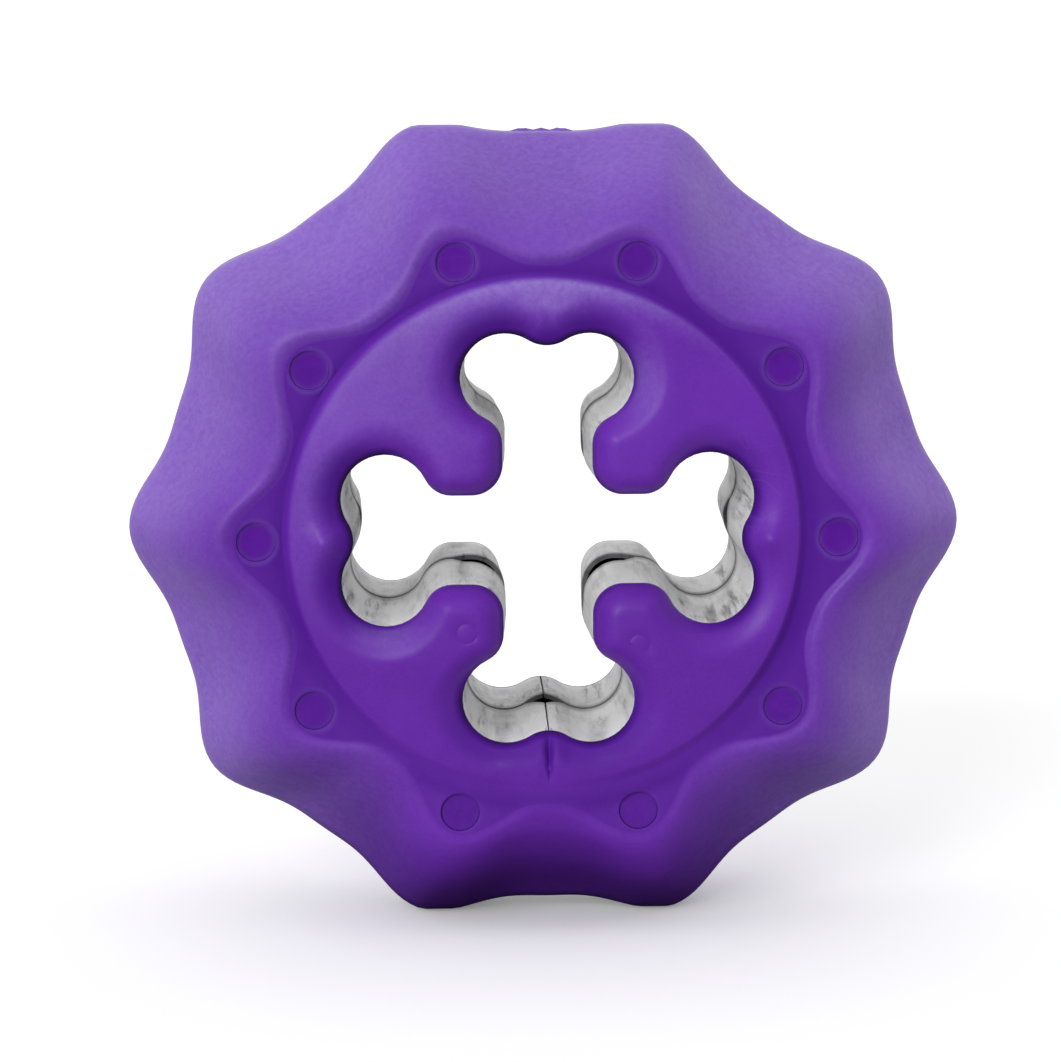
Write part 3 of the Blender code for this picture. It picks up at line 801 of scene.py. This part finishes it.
def bossRows(shape, draft, angle):
    # Rolled edge of the hole and the soft shoulder of the boss, with their painted shade and painted
    # highlights
    grow = smoothStep(*shape["rollGrow"], outlineReach)
    width, flatness, roundness, lipReach = (
        between(shape[name], grow) for name in ("rollWidth", "rollFlatness", "rollRoundness", "lipReach"))
    band, lip, lit = rollTones(shape, grow)
    bandReach = shape["bandReach"][0] + shape["bandReach"][1] * grow * band
    rolled, shoulder = [], []
    for share in np.linspace(0.0, 1.0, shape["rollRows"]) ** 1.5:  # rows crowd at the lip
        plan = outlineAt(shape["lipOffset"] + width * share)
        risen = (1.0 - (1.0 - share) ** flatness) ** roundness
        # painted shade: the band, the lip, under the bottom lobes and in the crease; lighter at the nubs
        shade = band * np.clip(1.0 - (share / bandReach) ** shape["bandFall"], 0.0, 1.0)
        shade = shade * (1.0 - shape["nubClear"] * saddleNubs(shape, plan))
        lipShade = lip * (1.0 - smoothStep(0.0, lipReach, share))
        under = shape["underShade"] * smoothStep(*shape["underFrom"], -plan[:, 1])
        under = under * (1.0 - smoothStep(0.4, 1.1, share))
        crease = creaseMark(shape, plan) * min(1.0, 4.0 * share)
        hollow = np.maximum.reduce([shade, lipShade, under, crease])
        # painted highlights of the boss, and of the roll's lit side
        edge = bossHighlights(shape, plan) * smoothStep(0.3, 1.0, share)
        edge = edge + lit * smoothStep(0.02, 0.15, share) * (1.0 - smoothStep(0.45, 0.95, share))
        rolled.append(addPoints(draft, plan, bossDepth(shape, plan, risen), edge=edge, hollow=hollow))
    for share in np.linspace(0.0, 1.0, shape["bossRows"]):
        plan = ringPlan(between(bossRim(shape, angle), share), angle)
        # painted highlights fade down the step; painted shade deepens into the groove
        edge = bossHighlights(shape, plan) * (1.0 - smoothStep(0.1, 0.6, share))
        hollow = shape["grooveShade"] * smoothStep(0.3, 1.0, share) * footFade(shape, angle)
        shoulder.append(addPoints(draft, plan, bossDepth(shape, plan, 1.0), edge=edge, hollow=hollow))
    bridgeRows(draft, rolled)
    bridgeRows(draft, shoulder)
    return rolled, shoulder


def bossFlat(shape, draft, rolled, shoulder):
    # The face of the boss, with finer points under the crease and round the marks on the prongs
    inner, outer = planOf(draft, rolled[-1]), planOf(draft, shoulder[0])
    grid = latticeInside(outer, [inner], shape["flatSpacing"], 0.6)
    radius, around = shape["prongMarkRadius"], circle(shape["prongMarkSides"])
    marks = []
    for centre in shape["prongMarks"]:
        grid = grid[reachOf(grid - centre) > radius + 0.5]
        marks += [ringPlan(radius * part, around) + centre for part in (0.82, 1.0, 1.18)]
    wide, lines, step = shape["creaseGrid"]
    down = np.arange(-shape["bossEdge"] + 0.35, -shape["creaseGridTop"], step)
    crease = np.array([(x, z) for z in down for x in np.linspace(-wide, wide, lines)])
    crease = keepInside(crease, outer, [inner], 0.14)
    plan = np.concatenate([keepClear(grid, crease, 0.3), crease, *marks])
    depth = bossDepth(shape, plan, 1.0)
    for centre in shape["prongMarks"]:
        off = reachOf(plan - centre) - radius
        depth = depth - shape["prongMarkDeep"] * bell(off, shape["prongMarkWide"])
    # painted highlights on the face and painted shade in the crease
    loose = addPoints(draft, plan, depth, edge=bossHighlights(shape, plan), hollow=creaseMark(shape, plan))
    fillPlan(draft, [rolled[-1], shoulder[0]], loose)


def boreClear(shape, angle):
    # The lips of the bores and their painted highlights are fainter towards the foot
    return 1.0 - shape["boreSoftLow"] * lowness(angle)


def channelDepth(shape, plan):
    away = smoothStep(shape["bossFoot"], shape["channelFrom"], reachOf(plan))
    depth = between((grooveDepth(shape, plan), shape["channelDepth"]), away)
    for angle in pinAngles:
        off = reachOf(plan - pinCentre(angle)) - pinRadius
        lip = shape["boreLip"] * boreClear(shape, angle)
        depth = depth + lip * bell(off - shape["boreLipAt"], shape["boreLipWide"])
    return depth


def channelShade(shape, plan):
    # painted shade in the pins' channel, deeper in the groove, weaker at the foot
    away = smoothStep(31.5, shape["channelFrom"], reachOf(plan))
    hollow = between((shape["channelShade"], shape["grooveShade"]), 1.0 - away)
    return hollow * footFade(shape, angleOf(plan))


def channelFloor(shape, draft, foot, crestFoot):
    # The pins' channel with a slightly raised lip round each bore; returns the bores' mouths
    around = circle(shape["boreSides"])
    outer, inner = planOf(draft, crestFoot), planOf(draft, foot)
    mouths, rings = [], []
    for angle in pinAngles:
        mouth = ringPlan(pinRadius + shape["boreGap"], around) + pinCentre(angle)
        # painted shade in the gap round each pin
        mouths.append(addPoints(draft, mouth, channelDepth(shape, mouth) - shape["boreDrop"], hollow=0.5))
        for away, pale in shape["boreRings"]:
            plan = ringPlan(pinRadius + away, around) + pinCentre(angle)
            plan = keepInside(plan, outer, [inner], 0.1)
            # painted highlight on each bore's lip, painted shade in the channel
            edge, hollow = pale * boreClear(shape, angle), channelShade(shape, plan)
            rings += addPoints(draft, plan, channelDepth(shape, plan), edge=edge, hollow=hollow)
    blocks = [ringPlan(pinRadius + 0.9, around) + pinCentre(angle) for angle in pinAngles]
    grid = latticeInside(outer, [inner, *blocks], shape["channelSpacing"], 0.45)
    loose = addPoints(draft, grid, channelDepth(shape, grid), hollow=channelShade(shape, grid))
    fillPlan(draft, [crestFoot, foot, *mouths], rings + loose)
    return mouths


def flankTones(shape, angle, share):
    # A painted sheen that grows down the flank, more at the top; painted shade in the channel and at the
    # foot
    upper = 1.0 - shape["sheenLow"] * smoothStep(0.7, 1.0, -np.sin(angle))
    near, far = shape["sheen"]
    near = near * (1.0 + smoothStep(0.3, 1.0, np.sin(angle - 0.26)))
    sheen = near * smoothStep(0.1, 0.26, share) + (far - near) * smoothStep(0.3, 0.85, share)
    edge = upper * (1.0 - 0.12 * np.cos(4.0 * angle)) * sheen
    channel = shape["channelShade"] * footFade(shape, angle) * (1.0 - smoothStep(0.02, 0.2, share))
    foot = shape["footShade"] * smoothStep(0.85, 1.0, -np.sin(angle)) * smoothStep(0.5, 0.95, share)
    return edge, channel + foot


def shellDraft(shape):
    draft = newDraft()
    angle = columnAngles(shape)
    rolled, shoulder = bossRows(shape, draft, angle)
    bossFlat(shape, draft, rolled, shoulder)
    flank = flankRows(shape, angle)
    rows = []
    for k, row in enumerate(flank):
        edge, hollow = flankTones(shape, angle, k / (len(flank) - 1))
        rows.append(addPoints(draft, ringPlan(row[:, 0], angle), row[:, 1], edge=edge, hollow=hollow))
    rim, flashed = rimRadius(shape, angle), flashedRim(shape, angle)
    pale, pocket = shape["rimSheen"], shape["pocketRadius"]
    for radius, depth, edge, hollow in (  # down the rim with painted sheen, round the seam with painted shade and into the pocket, painted black
            (rim, 1.5, pale, 0.0), (rim, 1.1, pale, 0.0), (flashed, 0.75, pale, 0.0),
            (flashed - 0.06, splitDepth + 0.18, pale, 0.3), (flashed - 0.25, splitDepth, 0.0, 0.8),
            (pocket, splitDepth, 0.0, blackMark), (pocket, shape["pocketDepth"], 0.0, blackMark)):
        rows.append(addPoints(draft, ringPlan(radius, angle), depth, edge=edge, hollow=hollow))
    bridgeRows(draft, rows)
    mouths = channelFloor(shape, draft, shoulder[-1], rows[0])

    # Underside: pocket ceiling pierced by the bores, core, liner seat and the thin lip over the liner;
    # the hidden faces painted black and the core dark, as shade
    throats = []
    for mouth in mouths:
        throats.append(addPoints(draft, planOf(draft, mouth), shape["pocketDepth"], hollow=blackMark))
        bridge(draft, mouth, throats[-1])
    coreDepth, coreDark = shape["coreDepth"], 1.2
    core = [addPoints(draft, ringPlan(shape["coreRadius"], angle), depth, hollow=dark)
            for depth, dark in ((shape["pocketDepth"], blackMark), (coreDepth, coreDark))]
    bridgeRows(draft, core)
    fillPlan(draft, [rows[-1], core[0], *throats])
    under = shape["lipDepth"] - shape["lipThickness"]
    seat = [addPoints(draft, outlineAt(offset), depth, hollow=dark) for offset, depth, dark in (
        (shape["seatOffset"] + 0.2, coreDepth, coreDark), (shape["seatOffset"], coreDepth, blackMark),
        (shape["seatOffset"], under, blackMark), (shape["lipOffset"], under, blackMark))]
    fillPlan(draft, [core[1], seat[0]])
    bridgeRows(draft, [*seat, rolled[0]])
    return draft


moulded = shellDraft(shellShape)
for side, turned in halves:
    makePiece(side + "Moulding", moulded, purpleFinish, side + "_half", [side + "_shell"],
              turned, inside=insideFinish)
print("moulded halves:", len(moulded["faces"]), "faces each")


# Grip liner

linerShape = dict(
    thickness=0.6, taper=0.6, nearDepth=0.4, farDepth=17.72, notch=3.2, rows=8,
    frontRound=0.26, frontRise=0.3, bevel=0.12, bevelIn=0.02, dent=0.035,
    seam=0.35, cornerCut=0.3, cornerRun=1.6,
    # a painted highlight on the front edge, painted shade towards the split and at the seam
    edgePale=0.9, edgeFrom=(0.35, 0.05), nearShade=0.4, seamShade=0.8,
)


def linerDraft(shape):
    # One strip round the hole, from the seam in the bottom saddle all the way back to it
    draft = newDraft()
    start = 3 * len(outline) // 4
    order = list(range(start, len(outline))) + list(range(start + 1))
    far, thick, bend, bevel = (shape[name] for name in ("farDepth", "thickness", "frontRound", "bevel"))
    edgeLow, edgeHigh = shape["edgeFrom"]
    share = np.linspace(0.0, 1.0, shape["rows"])
    columns = []
    for k, i in enumerate(order):
        near = shape["nearDepth"] + shape["notch"] * outlineNotch[i]
        depth = near + (far - shape["frontRise"] - near) * share
        lean = -shape["taper"] * (far - depth) / (far - shape["nearDepth"])
        dent = shape["dent"] * np.sin(0.9 * k + 0.35 * depth) * np.sin(0.23 * k - 0.5 * depth)
        dent = dent * np.sin(math.pi * share)
        back = lean[0]
        offset = np.concatenate([lean + dent, (0.3 * bend, bend, thick, thick + back, back + bevel)])
        depths = np.concatenate([depth, (far - 0.1, far, far, near, near)])
        depths[0] += bevel
        offset[0] += shape["bevelIn"]
        plan = outlinePlan[i] + np.outer(offset, outlineNormal[i])
        ending = {0: 1.0, len(order) - 1: -1.0}.get(k, 0.0)
        cut = shape["cornerCut"] * smoothStep(far - shape["cornerRun"], far, depths) ** 2
        plan[:, 0] += ending * (shape["seam"] / 2.0 + cut)
        # painted highlight on the front edge; painted shade towards the split and at the seam
        edge = shape["edgePale"] * smoothStep(far - edgeLow, far - edgeHigh, depths)
        hollow = 1.0 - smoothStep(near, near + shape["nearShade"], depths)
        hollow = np.maximum(hollow, shape["seamShade"] * abs(ending))
        columns.append(addPoints(draft, plan, depths, edge=edge, hollow=hollow))
    bridgeRows(draft, columns)
    draft["faces"] += [tuple(columns[0]), tuple(columns[-1])]
    return draft


liner = linerDraft(linerShape)
for side, turned in halves:
    makePiece(side + "Liner", liner, linerFinish, side + "_half", [side + "_grip_liner"],
              turned)
print("liners:", len(liner["faces"]), "faces each")


# Pins

pinShape = dict(
    sides=48, dish=0.10, round=0.10, fit=0.02, chamfer=0.4, softLow=0.8, paleLow=0.12,
)


def pinDraft(shape, angle):
    # A turned pin with a shallow dish in its head and a painted highlight on its rim; dish and highlight
    # fainter, and the pin paler as painted light, towards the foot of the part
    draft = newDraft()
    around = circle(shape["sides"])
    body, bend, chamfer = pinRadius + shape["fit"], shape["round"], shape["chamfer"]
    low = float(lowness(angle))
    clear = 1.0 - shape["softLow"] * low
    dish, pale = shape["dish"] * clear, shape["paleLow"] * low
    rows = []
    for radius, depth, edge in (  # from the middle of the head to the foot; the third value is the painted highlight
            (0.35 * body, pinHead - dish, 0.0), (0.7 * body, pinHead - 0.7 * dish, 0.0),
            (body - 2.0 * bend, pinHead - 0.15 * dish, 0.2), (body - bend, pinHead, 0.8),
            (body - 0.3 * bend, pinHead - 0.3 * bend, 0.9), (body, pinHead - bend, 0.3),
            (body, pinFoot + chamfer, 0.0), (body - chamfer, pinFoot, 0.0)):
        plan = ringPlan(radius, around) + pinCentre(angle)
        rows.append(addPoints(draft, plan, depth, edge=edge * clear + pale))
    bridgeRows(draft, rows)
    draft["faces"] += [tuple(rows[0]), tuple(rows[-1])]
    return draft


for side, turned in halves:
    for k, angle in enumerate(pinAngles):
        node = f"{side}_pin_{k + 1:02d}"
        makePiece(f"{side}Pin{k + 1:02d}", pinDraft(pinShape, angle), pinFinish, side + "_half", [node],
                  turned)
print("pins made")


# Plates and clip ring keep their own shapes

for node, finish in (("front_bearing_plate", plateFinish), ("rear_hub_plate", plateFinish),
                     ("retaining_ring", steelFinish)):
    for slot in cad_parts[node].material_slots:
        slot.material = finish
print("plates and ring finished")


# Floor, light and camera

floorLook = dict(
    colour=(0.92, 0.92, 0.92, 1.0), lift=(0.2, 0.2, 0.2, 1.0),
    nearBounce=(0.03, 0.03, 0.03, 1.0), farBounce=(0.55, 0.55, 0.55, 1.0),
    bounceScale=(25.0, 60.0, 0.0), bounceRange=(0.8, 1.6),
    roughness=0.9, specular=0.1, radius=6.0, sides=64,
)


def makeFloor(look):
    # A wide pale disc that throws less light back close to the part
    plan = ringPlan(look["radius"], circle(look["sides"]))
    points = [(x, y, cadLow.z) for x, y in plan.tolist()]
    mesh = bpy.data.meshes.new("paleFloor")
    mesh.from_pydata(points, [], [tuple(range(look["sides"]))])
    material, tree, shader = newFinish("paleFloor")
    seen = addNode(tree, "ShaderNodeLightPath").outputs["Is Camera Ray"]
    scaled = addNode(tree, "ShaderNodeVectorMath", operation="MULTIPLY")
    scaled.inputs[1].default_value = look["bounceScale"]
    join(objectPlace(tree), scaled.inputs[0])
    away = addNode(tree, "ShaderNodeVectorMath", operation="LENGTH")
    join(scaled.outputs[0], away.inputs[0])
    near = mapped(tree, away.outputs["Value"], *look["bounceRange"])
    bounce = mixColour(tree, near, look["nearBounce"], look["farBounce"])
    join(mixColour(tree, seen, bounce, look["colour"]), shader.inputs["Base Color"])
    join(mixColour(tree, seen, (0.0, 0.0, 0.0, 1.0), look["lift"]), shader.inputs["Emission Color"])
    setInputs(shader, {"Roughness": look["roughness"], "Specular IOR Level": look["specular"],
                       "Emission Strength": 1.0})
    mesh.materials.append(material)
    floor = bpy.data.objects.new("paleFloor", mesh)
    bpy.context.scene.collection.objects.link(floor)


lightLook = dict(
    front=0.33, behind=1.05, frontToBehind=(-0.6, 0.25), above=0.82, aboveFrom=(0.35, 0.9),
    left=0.12, right=0.1, sideFrom=(0.45, 0.95), backdrop=1.0,
    keyFrom=(-0.42, -0.82, 0.38), keyStrength=1.5, fillFrom=(0.0, -1.0, 0.0), fillStrength=0.1,
    spread=math.radians(30),
)


def makeLight(look):
    # A light tent, bright behind and dim in front, with a wide soft key from the upper left and a fill
    world = bpy.data.worlds.new("softStudio")
    world.use_nodes = True
    tree = world.node_tree
    sky = tree.nodes["Background"]
    way = addNode(tree, "ShaderNodeSeparateXYZ")
    join(addNode(tree, "ShaderNodeTexCoord").outputs["Generated"], way.inputs[0])
    around = mapped(tree, way.outputs["Y"], *look["frontToBehind"], look["front"], look["behind"])
    upper = math2(tree, "SUBTRACT", 1.0, mapped(tree, way.outputs["Z"], *look["aboveFrom"]))
    tent = times(tree, math2(tree, "SUBTRACT", around, look["above"]), upper)
    low, high = look["sideFrom"]
    flanks = math2(tree, "ADD", mapped(tree, way.outputs["X"], -low, -high, 0.0, look["left"]),
                   mapped(tree, way.outputs["X"], low, high, 0.0, look["right"]))
    glow = math2(tree, "ADD", math2(tree, "ADD", tent, look["above"]), flanks)
    seen = addNode(tree, "ShaderNodeLightPath").outputs["Is Camera Ray"]
    backdrop = times(tree, seen, look["backdrop"])
    join(math2(tree, "MAXIMUM", glow, backdrop), sky.inputs["Strength"])
    sky.inputs["Color"].default_value = (1.0, 1.0, 1.0, 1.0)
    bpy.context.scene.world = world
    for name in ("key", "fill"):
        data = bpy.data.lights.new(name + "Softbox", "SUN")
        data.energy = look[name + "Strength"]
        data.angle = look["spread"]
        lamp = bpy.data.objects.new(name + "Softbox", data)
        lamp.rotation_euler = Vector(look[name + "From"]).to_track_quat("Z", "Y").to_euler()
        bpy.context.scene.collection.objects.link(lamp)
    bpy.context.scene.view_settings.view_transform = "Standard"


cameraLook = dict(
    azimuth=-1.41, elevation=7.922, roll=-0.338, distance=0.41281,
    target=(-0.001612, 0.0, -0.001476), lens=112.81, clipStart=0.01,
)


def makeCamera(look):
    azimuth, elevation, roll = (math.radians(look[k]) for k in ("azimuth", "elevation", "roll"))
    turn = Matrix.Translation(look["target"])
    for angle, axis in ((azimuth, "Z"), (math.pi / 2.0 - elevation, "X"), (roll, "Z")):
        turn = turn @ Matrix.Rotation(angle, 4, axis)
    data = bpy.data.cameras.new("photoCamera")
    data.lens = look["lens"]
    data.clip_start = look["clipStart"]
    camera = bpy.data.objects.new("photoCamera", data)
    camera.matrix_world = turn @ Matrix.Translation((0.0, 0.0, look["distance"]))
    bpy.context.scene.collection.objects.link(camera)
    bpy.context.scene.camera = camera


makeFloor(floorLook)
makeLight(lightLook)
makeCamera(cameraLook)
print("floor, light and camera set")
